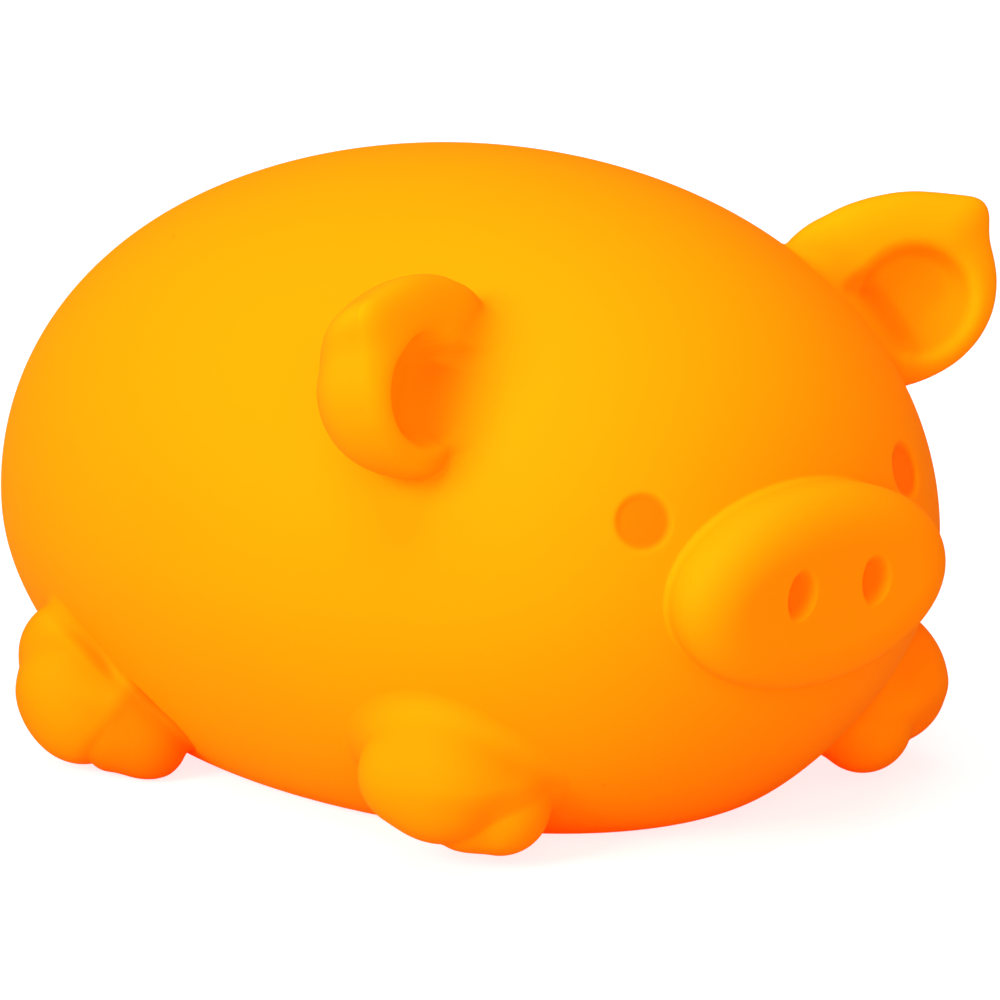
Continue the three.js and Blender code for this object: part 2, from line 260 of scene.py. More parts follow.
def makeRubber(name, look):
    sheet = Sheet(name)
    hollowAndShade = sheet.node("ShaderNodeAttribute", {"attribute_name": "hollowAndShade"}, output="Fac")
    thin = sheet.node("ShaderNodeAttribute", {"attribute_name": "thin"}, output="Fac")
    clouds = sheet.noise(look["cloudScale"], 3.0)
    shade = hollowAndShade + (clouds - 0.5) * look["cloudShade"]
    shade = sheet.node("ShaderNodeClamp", {}, {"Value": shade})
    # painted shade: the lit colour blends into the darker colour where the attribute rises
    base = sheet.blendColours(shade, look["lit"], look["deep"])
    cells = sheet.node("ShaderNodeTexVoronoi", {}, {"Vector": sheet.place(), "Scale": look["dustScale"]},
                       "Distance")
    sparse = sheet.noise(look["dustScale"] * look["dustPatch"], 1.0)
    dust = (1 - cells.ramp(0.05, 0.13)) * sparse.ramp(0.66, 0.72)
    base = sheet.blendColours(dust * look["dustShare"], base, look["dustTone"])
    grain = sheet.noise(look["grainScale"], 2.0)
    roughness = look["roughness"] + (clouds - 0.5) * look["cloudRough"] + (grain - 0.5) * look["grainRough"]
    bump = sheet.node("ShaderNodeBump", {}, {
        "Height": grain + dust * look["dustLift"], "Strength": look["bumpStrength"], "Distance": look["bumpDistance"],
    }, "Normal")
    # painted glow: an even red emission that keeps shaded sides bright, stronger where "thin" rises, for light shining
    # through the ears
    paintedGlow = sheet.blendColours(thin, look["paintedGlow"], look["thinPaintedGlow"])
    shader = sheet.node("ShaderNodeBsdfPrincipled", {}, {
        "Base Color": base, "Roughness": roughness, "Normal": bump, "IOR": look["ior"],
        "Specular IOR Level": look["sheen"], "Emission Color": paintedGlow, "Emission Strength": 1.0,
    }, "BSDF")
    return sheet.finish(shader)


rubber = makeRubber("orange_rubber", rubberLook)


# Body: with X = sin(pole) and ring = |cos(pole)|^0.8, a point is X along the pig,
# halfWidth * ring * cos(around) across, topRise * ring * sin(around) up, fuller
# below; then turned nose up and settled flat on the ground
pigBody = {
    "frontReach": 50.7, "rearReach": 59.6, "halfWidth": 37.7, "topRise": 37.1, "bellyDrop": 36.4,
    "noseLift": 4.8, "blunt": 0.8, "bellyFull": 0.81, "noseWiden": 0.034, "floorSink": 0.5, "softness": 1.2,
    "rows": 250, "columns": 372,
}
# shade is the amount of painted shade on the eye's floor
eye = {"pole": 67.4, "around": 23.7, "radius": 2.7, "depth": 0.32, "edge": 0.5, "shade": 0.8}
port = {"recessRadius": 8.0, "recessDepth": 1.6, "holeRadius": 4.0, "rimRadius": 10.5,
        "holeTop": 4.4, "stepIn": 3.0}

liftTurn = math.radians(pigBody["noseLift"])
floorLevel = -restHeight - pigBody["floorSink"]


def bodySurface(pole, around):
    b = pigBody
    along = np.sin(pole)
    ring = np.abs(np.cos(pole)) ** b["blunt"]
    x = ((b["frontReach"] + b["rearReach"]) * along + (b["frontReach"] - b["rearReach"]) * along**2) / 2
    y = b["halfWidth"] * ring * np.cos(around) * (1 + b["noseWiden"] * along)
    lift = ring * np.sin(around)
    drop = 1 - (1 - np.minimum(np.abs(lift), 1)) ** b["bellyFull"]
    z = np.where(lift > 0, b["topRise"] * lift, -b["bellyDrop"] * drop)
    x, z = x * math.cos(liftTurn) - z * math.sin(liftTurn), x * math.sin(liftTurn) + z * math.cos(liftTurn)
    above = (z - floorLevel) / b["softness"]
    z = floorLevel + b["softness"] * (np.maximum(above, 0) + np.log1p(np.exp(-np.abs(above))))
    return np.stack([x, y, np.maximum(z, -restHeight)], -1)


def bodyForm(points):
    # ring^(2/blunt) + X^2 - 1: zero on the body's skin, negative inside it
    b = pigBody
    x, y, z = points[..., 0], points[..., 1], points[..., 2]
    above = np.maximum(z - floorLevel, 1e-5) / b["softness"]
    z = floorLevel + b["softness"] * np.where(above > 30, above, np.log(np.expm1(np.minimum(above, 30))))
    x, z = x * math.cos(liftTurn) + z * math.sin(liftTurn), -x * math.sin(liftTurn) + z * math.cos(liftTurn)
    total, difference = b["frontReach"] + b["rearReach"], b["frontReach"] - b["rearReach"]
    along = (-total + np.sqrt(np.maximum(total**2 + 8 * difference * x, 0))) / (2 * difference)
    across = y / (b["halfWidth"] * (1 + b["noseWiden"] * along))
    drop = np.maximum(-z, 0) / b["bellyDrop"]
    below = np.where(drop < 1, 1 - np.maximum(1 - drop, 0) ** (1 / b["bellyFull"]), 2 * drop - 1)
    lift = np.where(z > 0, z / b["topRise"], -below)
    return (across**2 + lift**2) ** (1 / b["blunt"]) + along**2 - 1


def bodySlope(points):
    step = 0.02
    slope = np.empty(points.shape)
    for axis in range(3):
        nudge = np.zeros(3)
        nudge[axis] = step
        slope[..., axis] = (bodyForm(points + nudge) - bodyForm(points - nudge)) / (2 * step)
    return slope


def bodyGap(points):
    # about how far points lie outside the body's skin, in millimetres
    return bodyForm(points) / np.maximum(np.linalg.norm(bodySlope(points), axis=-1), 1e-9)


def ontoBody(points):
    for _ in range(5):
        slope = bodySlope(points)
        length = np.maximum(np.linalg.norm(slope, axis=-1, keepdims=True), 1e-9)
        points = points - bodyForm(points)[..., None] * slope / length**2
    return points


def crowded(low, high, count, places, width, extra):
    # evenly spread numbers from low to high that crowd together near some places
    fine = np.linspace(low, high, 4001)
    density = 1 + sum(extra * np.exp(-(((fine - place) / width) ** 2)) for place in places)
    total = np.concatenate([[0], np.cumsum((density[1:] + density[:-1]) / 2)])
    return np.interp(np.linspace(0, total[-1], count), total, fine)


def eyeDimple(points):
    # a flat-floored round dimple in the skin at each eye, and how deep it lies, 0 to 1, which is later painted as shade
    # on the eye's floor
    pole, around = math.radians(eye["pole"]), math.radians(eye["around"])
    centre = bodySurface(np.array(pole), np.array(around))
    normal = unit(bodySlope(centre))
    deep = np.zeros(points.shape[:-1])
    moved = points.copy()
    for side in (1, -1):
        mirror = np.array([1, side, 1])
        offset = points - centre * mirror
        high = offset @ (normal * mirror)
        aside = np.linalg.norm(offset - high[..., None] * (normal * mirror), axis=-1)
        share = 1 - smoothStep(eye["radius"] - eye["edge"], eye["radius"] + eye["edge"] * 0.6, aside)
        share = np.where(np.abs(high) < 12, share, 0)
        moved = moved - (share * eye["depth"])[..., None] * (normal * mirror)
        deep = np.maximum(deep, share)
    return moved, deep


def portShell():
    # the recess and hole for the plug, as rings turned about the plug's upright line
    p, low = port, -restHeight
    profile = [(p["rimRadius"], 0.0), (p["recessRadius"] + 0.7, 0.0), (p["recessRadius"] + 0.3, 0.1),
               (p["recessRadius"] + 0.1, 0.3), (p["recessRadius"], 0.6), (p["recessRadius"], p["recessDepth"]),
               (p["holeRadius"] + 0.2, p["recessDepth"]), (p["holeRadius"], p["recessDepth"] + 0.2),
               (p["holeRadius"], p["holeTop"]), (p["rimRadius"], p["holeTop"]), (p["rimRadius"], 0.6)]
    turn = np.linspace(0, 2 * math.pi, 96, endpoint=False)
    rings = np.array([[(r * math.cos(t), r * math.sin(t), low + h) for t in turn] for r, h in profile])
    return wrappedGrid(rings)


def makeBody():
    poles = crowded(-math.pi / 2, math.pi / 2, pigBody["rows"] + 2, [math.radians(eye["pole"])], 0.11, 2.2)[1:-1]
    spots = [math.radians(eye["around"]), math.pi - math.radians(eye["around"])]
    arounds = crowded(-math.pi, math.pi, pigBody["columns"] + 1, spots, 0.2, 0.9)[:-1]
    pole, around = np.meshgrid(poles, arounds, indexing="ij")
    rings = bodySurface(pole, around)
    ends = bodySurface(np.array([-math.pi / 2, math.pi / 2]), np.zeros(2))
    rings, deep = eyeDimple(rings)
    # the flat belly steps inwards over the port's own rings
    fromPort = np.hypot(rings[..., 0], rings[..., 1])
    under = rings[..., 2] < -restHeight + 1
    step = 1 - smoothStep(port["recessRadius"] + 0.9, port["rimRadius"] - 0.4, fromPort)
    rings[..., 2] += np.where(under, port["stepIn"] * step + 0.02, 0)
    body = closedGrid(rings, ends[0], ends[1])
    well = portShell()
    # painted shade: the eye dimples' floors and the whole plug recess get a darker colour
    hollowAndShade = [np.concatenate([deep.ravel() * eye["shade"], [0, 0]]), np.full(len(well[0]), 0.3)]
    skin = makePiece("pig_skin", [body, well], rubber, "pig_body", {"hollowAndShade": hollowAndShade})
    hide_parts("body_skin")


makeBody()


# Where a limb meets the body its side turns into the skin through a soft fillet: a
# curve from the limb at the height reach, past the limb's foot, to the skin at the
# distance spread
def joinToBody(columns, reach, spread, steps=14, sink=0.03):
    # columns are limb points (rows, columns, 3) from its tip to inside the body; reach
    # and spread are the fillet's sizes on the limb and on the skin, for each column
    rows, count, _ = columns.shape
    gap = bodyGap(columns)

    def crossing(level):
        under = gap < level
        under[-1] = True
        row = np.maximum(np.argmax(under, axis=0), 1)
        each = np.arange(count)
        high, low = gap[row - 1, each], gap[row, each]
        share = np.clip((high - level) / np.maximum(high - low, 1e-9), 0, 1)
        part = share[:, None]
        return columns[row - 1, each] * (1 - part) + columns[row, each] * part, row - 1 + share

    start, startRow = crossing(reach)
    foot, _ = crossing(np.zeros(count))
    foot = ontoBody(foot)
    normal = unit(bodySlope(foot))
    loop = np.roll(foot, -1, axis=0) - np.roll(foot, 1, axis=0)
    aside = unit(np.cross(loop, normal))
    centre = foot.mean(axis=0)
    if np.sum(aside * (foot - centre)) < 0:
        aside = -aside
    # the limb's own rows are spread again between its tip and the start of the fillet
    shares = np.linspace(0, 1, rows)
    wanted = shares[:, None] * startRow[None, :]
    low = np.clip(np.floor(wanted).astype(int), 0, rows - 2)
    part = (wanted - low)[..., None]
    each = np.arange(count)[None, :]
    side = columns[low, each] * (1 - part) + columns[low + 1, each] * part
    end = ontoBody(foot + spread[:, None] * aside)
    t = (np.arange(1, steps + 1) / steps)[:, None, None]
    fillet = (1 - t) ** 2 * start + 2 * t * (1 - t) * foot + t**2 * end
    skirt = []
    for out, down in ((0.35, sink), (0.7, 0.2), (1.0, 0.9)):
        at = ontoBody(end + out * aside)
        skirt.append(at - down * unit(bodySlope(at)))
    rings = np.concatenate([side, fillet, np.array(skirt)])
    last = centre - 5 * unit(bodySlope(centre))
    return rings, last


# Snout: oval sections along its axis; the flat face turns over a soft edge into the
# sides, with two nostril hollows in it
snoutForm = {
    "halfWidth": 16.15, "halfHeight": 9.9, "proud": 4.7, "drop": 1.52, "length": 17.0, "edgeLength": 3.8,
    "edgeDrawIn": 5.1, "neckShare": 0.37, "neckAway": 7.7, "lean": 5.0, "nostrilHalfWidth": 1.3, "nostrilSoft": 1.4,
    "nostrilHalfHeight": 2.2, "nostrilDepth": 0.9, "nostrilSpacing": 9.3, "nostrilRise": 0.8, "nostrilLean": 5.0,
    "nostrilShade": 0.7,
    "faceRows": 70, "edgeRows": 30, "sideRows": 60, "columns": 260, "fillet": 1.5, "filletSpread": 0.6,
}


def makeSnout():
    s = snoutForm
    turn = np.linspace(0, math.pi / 2, s["edgeRows"] + 1)[1:]
    faceShare = np.linspace(0, 1, s["faceRows"] + 1)[1:]
    around = np.linspace(0, 2 * math.pi, s["columns"], endpoint=False)
    wide, high = s["halfWidth"] - s["edgeDrawIn"], s["halfHeight"] - s["edgeDrawIn"]
    edge, sides = s["edgeDrawIn"] * np.sin(turn), np.ones(s["sideRows"])
    ringWide = np.concatenate([wide * faceShare, wide + edge, s["halfWidth"] * sides])
    ringHigh = np.concatenate([high * faceShare, high + edge, s["halfHeight"] * sides])
    back = np.concatenate([np.zeros(s["faceRows"]), -s["edgeLength"] * (1 - np.cos(turn)),
                           -s["edgeLength"] - (s["length"] - s["edgeLength"]) * np.linspace(0, 1, s["sideRows"] + 1)[1:]])
    # behind its edge the snout narrows towards the body, more and more
    behind = np.maximum(-s["edgeLength"] - back, 0) / s["neckAway"]
    narrow = 1 - s["neckShare"] * np.where(behind < 1, behind**2, 2 * behind - 1)
    y = (ringWide * narrow)[:, None] * np.cos(around)
    z = (ringHigh * narrow)[:, None] * np.sin(around)
    x = np.repeat(back[:, None], s["columns"], axis=1)
    lean = math.radians(s["lean"])
    axes = np.array([[math.cos(lean), 0, -math.sin(lean)], [0, 1, 0], [math.sin(lean), 0, math.cos(lean)]])
    nose = bodySurface(np.array(math.pi / 2), np.array(0.0))
    face = nose + np.array([s["proud"], 0, -s["drop"]])
    columns = np.stack([x, y, z], -1) @ axes + face
    full = np.ones(s["columns"])
    rings, last = joinToBody(columns, s["fillet"] * full, s["filletSpread"] * full)
    # nostrils: oval hollows pressed into the face along its own axis
    flat = (rings - face) @ axes.T
    hollowAndShade = np.zeros(flat.shape[:2])
    for side in (1, -1):
        tilt = side * math.radians(s["nostrilLean"])
        dy, dz = flat[..., 1] - side * s["nostrilSpacing"] / 2, flat[..., 2] - s["nostrilRise"]
        u = (dy * math.cos(tilt) + dz * math.sin(tilt)) / s["nostrilHalfWidth"]
        v = (-dy * math.sin(tilt) + dz * math.cos(tilt)) / s["nostrilHalfHeight"]
        u = np.where(u > 0, u / s["nostrilSoft"], u)
        share = 1 - smoothStep(0.6, 1.25, np.hypot(u, v))
        hollowAndShade = np.maximum(hollowAndShade, np.where(flat[..., 0] > -s["edgeLength"], share, 0))
    flat[..., 0] -= s["nostrilDepth"] * hollowAndShade
    rings, _ = eyeDimple(flat @ axes + face)
    # the nostril hollows also get painted shade, a darker colour by how deep they lie
    piece = makePiece("snout", [closedGrid(rings, face, last)], rubber, "pig_body",
                      {"hollowAndShade": [np.concatenate([hollowAndShade.ravel() * s["nostrilShade"], [0, 0]])]})
    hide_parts("snout")


makeSnout()


# Ear: a deep cupped leaf. In its own directions (along, across, out of its mouth) a
# slice across it runs round a chord of its outline: over the front, which is a rolled
# rim round a hollow, and back behind, which bulges. share is 0 at the ear's middle
# and 1 on its outline, an oval that reaches further by a share read for each direction.
earForm = {
    "pole": 30.75, "around": 37.25, "along": (0.46, 0.69, 0.56), "acrossHint": (-0.47, -0.21, 0.85),
    "halfLength": 11.45, "halfWidth": 9.54, "centreAlong": 3.66, "centreAcross": -1.18,
    "reach": [(-180, 0.95), (-107, 0.965), (-94, 0.995), (-77, 1.04), (-63, 1.06), (-49, 1.06), (-36, 1.045),
              (-20, 1.03), (-10, 1.035), (-3, 1.08), (3, 1.16), (9, 1.2), (14, 1.18), (20, 1.115), (26, 1.07),
              (35, 1.025), (48, 0.99), (61, 0.967), (72, 0.965), (81, 0.975), (91, 0.985), (100, 1.025), (110, 1.055),
              (120, 1.07), (135, 1.07), (180, 0.95)],
    "reachRound": 4.0, "tipTurn": 9.0, "tipSpread": 20.0, "tipThin": 0.123,
    "mouthAlong": 2.2, "mouthAcross": -2.1, "mouthHalfLength": 5.5, "mouthHalfWidth": 5.0,
    "mouthDepth": 4.4, "mouthFade": 3.5,
    "softTurn": -70.0, "softPower": 3.5, "crispPower": 24.0, "mouthShade": 0.55,
    "backDepth": 11.16, "backPower": 2.16, "edgeDrop": 3.1, "crest": 0.5,
    "rimLift": 4.37, "slopeAlong": -0.235, "slopeAcross": 0.285, "curl": 0.6, "deepest": -9.5,
    "rows": 130, "columns": 200, "frontFillet": 3.4, "backFillet": 0.5,
    "bendFrom": 2.6, "bendTo": 7.5,
}


def reachTable():
    # the outline's reach for each whole degree, rounded over a few degrees
    places, reaches = np.array(earForm["reach"], float).T
    degrees = np.arange(-180, 180)
    plain = np.interp(degrees, places, reaches)
    shifts = np.arange(-12, 13)
    weights = np.exp(-((shifts / earForm["reachRound"]) ** 2))
    return np.radians(degrees), sum(np.roll(plain, n) * w for n, w in zip(shifts, weights)) / weights.sum()


earTurns, earReach = reachTable()


def earPoints(along, across, deepShare=1.0):
    # front and back of the ear, and how hollow it is, at places in its outline's plane
    e = earForm
    turn = np.arctan2(across / e["halfWidth"], along / e["halfLength"])
    reach = np.interp(turn, earTurns, earReach, period=2 * math.pi)
    share = np.minimum(np.hypot(across / e["halfWidth"], along / e["halfLength"]) / reach, 1)
    tip = np.exp(-(((turn - math.radians(e["tipTurn"])) / math.radians(e["tipSpread"])) ** 2))
    m, n = (along - e["mouthAlong"]) / e["mouthHalfLength"], (across - e["mouthAcross"]) / e["mouthHalfWidth"]
    soft = 0.5 + 0.5 * np.cos(np.arctan2(n, m) - math.radians(e["softTurn"]))
    power = e["crispPower"] + (e["softPower"] - e["crispPower"]) * soft
    hollowAndShade = (1 - smoothStep(0.7, 1.0, share)) / (1 + (np.hypot(m, n) / 0.95) ** power)
    rim = np.clip((share - e["crest"]) / (1 - e["crest"]), 0, 1)
    front = e["mouthDepth"] * hollowAndShade * deepShare + e["edgeDrop"] * (1 - np.sqrt(1 - rim**2))
    back = e["edgeDrop"] + (e["backDepth"] - e["edgeDrop"]) * np.sqrt(1 - share ** e["backPower"])
    thin = 1 - e["tipThin"] * tip * share
    plane = (e["rimLift"] + e["slopeAlong"] * along + e["slopeAcross"] * across
             + e["curl"] * (across / e["halfWidth"]) ** 2)
    return plane - front * thin, plane - back * thin, hollowAndShade


def makeEars():
    e = earForm
    turn = np.linspace(-math.pi, math.pi, 2881)
    reach = np.interp(turn, earTurns, earReach, period=2 * math.pi)
    outAlong, outAcross = e["halfLength"] * reach * np.cos(turn), e["halfWidth"] * reach * np.sin(turn)
    top = int(np.argmax(outAlong))
    step = np.linspace(0, 1, e["rows"] + 1)[1:]
    along = outAlong[top] - (outAlong[top] - e["deepest"]) * (1 - np.cos(step * math.pi / 2))
    high = np.interp(-along, -outAlong[top:], outAcross[top:])
    low = np.interp(along, outAlong[: top + 1], outAcross[: top + 1])
    around = np.linspace(0, 2 * math.pi, e["columns"], endpoint=False)
    across = (high + low)[:, None] / 2 + (high - low)[:, None] / 2 * np.cos(around)
    alongs = np.repeat(along[:, None], e["columns"], axis=1)
    axisAlong = unit(np.array(e["along"]))
    hint = np.array(e["acrossHint"])
    axisAcross = unit(hint - axisAlong * (hint @ axisAlong))
    axisOut = np.cross(axisAlong, axisAcross)
    root = bodySurface(np.array(math.radians(e["pole"])), np.array(math.radians(e["around"])))

    def placed(a, c, o):
        return (root + (a + e["centreAlong"])[..., None] * axisAlong
                + (c + e["centreAcross"])[..., None] * axisAcross + o[..., None] * axisOut)

    # the hollow grows shallow where the ear's front comes close to the body
    plain, _, _ = earPoints(alongs, across, 0.0)
    deepShare = smoothStep(0.0, e["mouthFade"], bodyGap(placed(alongs, across, plain)))
    front, back, _ = earPoints(alongs, across, deepShare)
    columns = placed(alongs, across, np.where(np.sin(around) >= 0, front, back))
    frontness = smoothStep(0.45, 0.95, np.sin(around))
    fillet = e["backFillet"] + (e["frontFillet"] - e["backFillet"]) * frontness
    rings, last = joinToBody(columns, fillet, fillet)
    tipOut = earPoints(np.array([outAlong[top]]), np.array([outAcross[top]]))[0]
    first = placed(np.array([outAlong[top]]), np.array([outAcross[top]]), tipOut)[0]
    local = (rings - root) @ np.stack([axisAlong, axisAcross, axisOut], -1)
    _, _, inMouth = earPoints(local[..., 0] - e["centreAlong"], local[..., 1] - e["centreAcross"])
    # painted shade over the ear's mouth, fading out near the body; "thin" rises on the front away from the body, where
    # the ears get more painted glow
    fade = smoothStep(0.2, 2.4, bodyGap(rings))
    hollowAndShade = e["mouthShade"] * smoothStep(0.08, 0.5, inMouth) * (np.sin(around) > 0) * fade
    thin = smoothStep(1.0, 5.0, bodyGap(rings)) * smoothStep(-0.3, 0.5, np.sin(around))
    for side, word in ((1, "left"), (-1, "right")):
        mirror = np.array([1, side, 1])
        piece = makePiece("ear_" + word + "_leaf", [closedGrid(rings * mirror, first * mirror, last * mirror)], rubber,
                          None, {"hollowAndShade": [np.concatenate([hollowAndShade.ravel(), [0, 0]])],
                                 "thin": [np.concatenate([thin.ravel(), [0.5, 0]])]})
        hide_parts("ear_" + word, "ear_neck_" + word)
        start, end = ((root + e[key] * axisAlong) * mirror for key in ("bendFrom", "bendTo"))
        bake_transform(piece)


makeEars()


# Feet: a big outer lobe over a smaller inner toe. Each is a chain of balls with the
# tapering solids between them, given as (x, y, z, radius) from a place on the ground
# under the skin. Rays from inside the root find where (lobe, pad and toe rounded
# together, then rounded into the body) is zero; the cleft softens as it rises.
feetForm = {
    # lobeShade, toeShade, cleftShade and creaseShade are amounts of painted shade
    "front": {"pole": 31.0, "around": -36.0, "fillet": 2.4, "reach": 20.0, "deeper": 0.0,
              "lobeShade": 0.2, "toeShade": 0.0, "cleftShade": 0.12, "creaseShade": 0.0,
              "lobe": [(-2.50, -2.19, 9.84, 6.7), (0.82, 0.34, 9.63, 6.6), (-0.35, 3.07, 9.26, 4.8)],
              "pad": [(-1.65, -1.64, 12.02, 5.0), (3.21, 0.53, 8.70, 5.0)],
              "toe": [(-2.04, -3.42, 9.43, 5.0), (2.96, -1.62, 5.78, 3.9), (4.52, -4.29, 6.04, 4.9)]},
    "rear": {"pole": -26.5, "around": -26.5, "fillet": 1.2, "reach": 27.0, "deeper": 3.0,
             "lobeShade": 0.4, "toeShade": 1.0, "cleftShade": 0.9, "creaseShade": 0.95,
             "lobe": [(-3.36, -5.26, 7.95, 6.6), (-0.93, 0.55, 10.28, 5.3), (2.92, 3.74, 7.76, 5.3),
                      (6.03, 1.90, 6.16, 4.2)],
             "pad": [(-3.96, -4.10, 5.46, 4.3), (4.83, 3.86, 5.20, 4.4)],
             "toe": [(2.79, -3.34, 6.77, 3.6), (11.50, 0.60, 3.75, 3.6), (8.34, 2.78, 3.10, 2.7)]},
    "chainRound": 1.2, "padRound": 2.5, "cleft": 0.35, "cleftTop": 6.0, "cleftFrom": 4.8, "cleftTo": 9.5,
    "groundRound": 0.7, "rows": 170, "columns": 200, "widest": 100.0,
    "raySteps": 42, "halvings": 16, "skinGap": 0.02, "floorGap": 0.04,
}


def taper(points, start, end):
    # distance from a solid that tapers between two balls, each (x, y, z, radius)
    a, b, ra, rb = np.array(start[:3]), np.array(end[:3]), start[3], end[3]
    axis = b - a
    length2 = axis @ axis
    slope = ra - rb
    side2 = length2 - slope**2
    offset = points - a
    y = offset @ axis
    z = y - length2
    x2 = np.sum((offset * length2 - y[..., None] * axis) ** 2, axis=-1)
    y2, z2 = y * y * length2, z * z * length2
    k = np.sign(slope) * slope * slope * x2
    atEnd = np.sqrt(x2 + z2) / length2 - rb
    atStart = np.sqrt(x2 + y2) / length2 - ra
    between = (np.sqrt(x2 * side2 / length2) + y * slope) / length2 - ra
    return np.where(np.sign(z) * side2 * z2 > k, atEnd, np.where(np.sign(y) * side2 * y2 < k, atStart, between))


def footRings(foot):
    f = feetForm
    anchor = bodySurface(np.array(math.radians(foot["pole"])), np.array(math.radians(foot["around"])))
    anchor[2] = -restHeight
    chains = {}
    for key in ("lobe", "pad", "toe"):
        chains[key] = [(*(anchor + np.array(ball[:3])), ball[3]) for ball in foot[key]]

    def chain(points, key):
        balls = chains[key]
        gap = taper(points, balls[0], balls[1])
        for start, end in zip(balls[1:], balls[2:]):
            gap = smoothMin(gap, taper(points, start, end), f["chainRound"])
        return gap

    def toes(points):
        return chain(points, "toe"), smoothMin(chain(points, "lobe"), chain(points, "pad"), f["padRound"])

    def whole(points):
        inner, outer = toes(points)
        height = points[..., 2] + restHeight
        cleft = f["cleft"] + (f["cleftTop"] - f["cleft"]) * smoothStep(f["cleftFrom"], f["cleftTo"], height)
        shape = smoothMin(inner, outer, cleft)
        shape = -smoothMin(-shape, height, f["groundRound"])
        return smoothMin(shape, bodyGap(points) + f["skinGap"], foot["fillet"])

    origin = np.array(chains["lobe"][0][:3])
    origin = origin - foot["deeper"] * unit(bodySlope(ontoBody(origin)))
    tips = (np.array(chains["lobe"][-1][:3]) + np.array(chains["toe"][-1][:3])) / 2
    pole = unit(unit(tips - origin) + unit(bodySlope(ontoBody(origin))))
    beside = unit(np.cross(pole, np.array([0.0, 0.0, 1.0])))
    above = np.cross(beside, pole)
    polar = np.linspace(0, math.radians(f["widest"]), f["rows"] + 1)[1:, None, None]
    turn = np.linspace(0, 2 * math.pi, f["columns"], endpoint=False)[None, :, None]
    rays = np.cos(polar) * pole + np.sin(polar) * (np.cos(turn) * beside + np.sin(turn) * above)
    rays = np.concatenate([rays.reshape(-1, 3), [pole]])
    low, high = np.zeros(len(rays)), np.zeros(len(rays))
    unmet = np.ones(len(rays), bool)
    for far in np.linspace(0.8, foot["reach"], f["raySteps"]):
        outside = whole(origin + rays * far) > 0
        high = np.where(unmet & outside, far, high)
        low = np.where(unmet & ~outside, far, low)
        unmet &= ~outside
    high = np.where(high == 0, foot["reach"], high)
    for _ in range(f["halvings"]):
        half = (low + high) / 2
        outside = whole(origin + rays * half[:, None]) > 0
        low, high = np.where(outside, low, half), np.where(outside, half, high)
    points = origin + rays * ((low + high) / 2)[:, None]
    inner, outer = toes(points)
    # painted shade: a darker colour in the cleft between lobe and toe, over the lobe and the toe, and along the crease
    # with the body, fading on the upper part
    near = np.exp(-(((inner - outer) / 0.8) ** 2)) * (1 - smoothStep(0.3, 0.9, np.minimum(inner, outer)))
    height = points[:, 2] + restHeight
    near = near * (1 - smoothStep(f["cleftFrom"], f["cleftTo"], height))
    rings, first = points[:-1].reshape(f["rows"], f["columns"], 3), points[-1]
    shade = foot["toeShade"] + (foot["lobeShade"] - foot["toeShade"]) * smoothStep(-0.6, 1.6, inner - outer)
    raised = smoothStep(9, 14, height)
    shade = shade * (1 - raised * (1 - smoothStep(0.3, 3.5, bodyGap(points))))
    crease = foot["creaseShade"] * (1 - smoothStep(0.2, 3.0, bodyGap(points)))
    crease = crease * (1 - smoothStep(0.1, 1.2, np.minimum(inner, outer)))
    crease = crease * (1 - smoothStep(11, 18, height))
    hollowAndShade = np.maximum(np.maximum(near * foot["cleftShade"], shade), crease)[:-1].reshape(f["rows"], f["columns"])
    edge = rings[-1]
    # the rim slides under the skin beside it
    normal, aside = unit(bodySlope(edge)), unit(edge - origin)
    aside = unit(aside - np.sum(aside * normal, axis=-1, keepdims=True) * normal)
    skirt = []
    for out, down in ((0.5, 0.03), (1.0, 0.12), (1.3, 0.7)):
        skirt.append(edge + out * aside - down * normal)
    rings = np.concatenate([rings, np.array(skirt)])
    rings[..., 2] = np.maximum(rings[..., 2], -restHeight + f["floorGap"])
    hollowAndShade = np.concatenate([hollowAndShade, np.zeros((3, f["columns"]))])
    return rings, first, origin - 2 * pole, hollowAndShade


def makeFeet():
    for end in ("front", "rear"):
        rings, first, last, hollowAndShade = footRings(feetForm[end])
        for side, word in ((1, "left"), (-1, "right")):
            mirror = np.array([1, side, 1])
            name = "foot_" + end + "_" + word
            grid = closedGrid(rings * mirror, first * mirror, last * mirror)
            piece = makePiece(name + "_toes", [grid], rubber, "pig_body",
                              {"hollowAndShade": [np.concatenate([hollowAndShade.ravel(), [0, 0]])]})
            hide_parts(name)


makeFeet()


# Tail: a round, tapering tube along one rising turn, rooted in the rump
tailForm = {"rise": 9.0, "curl": 3.0, "back": 3.4, "thick": 1.7, "tip": 0.9, "turns": 1.2, "root": 3.0,
            "fillet": 1.2, "rows": 140, "columns": 40}


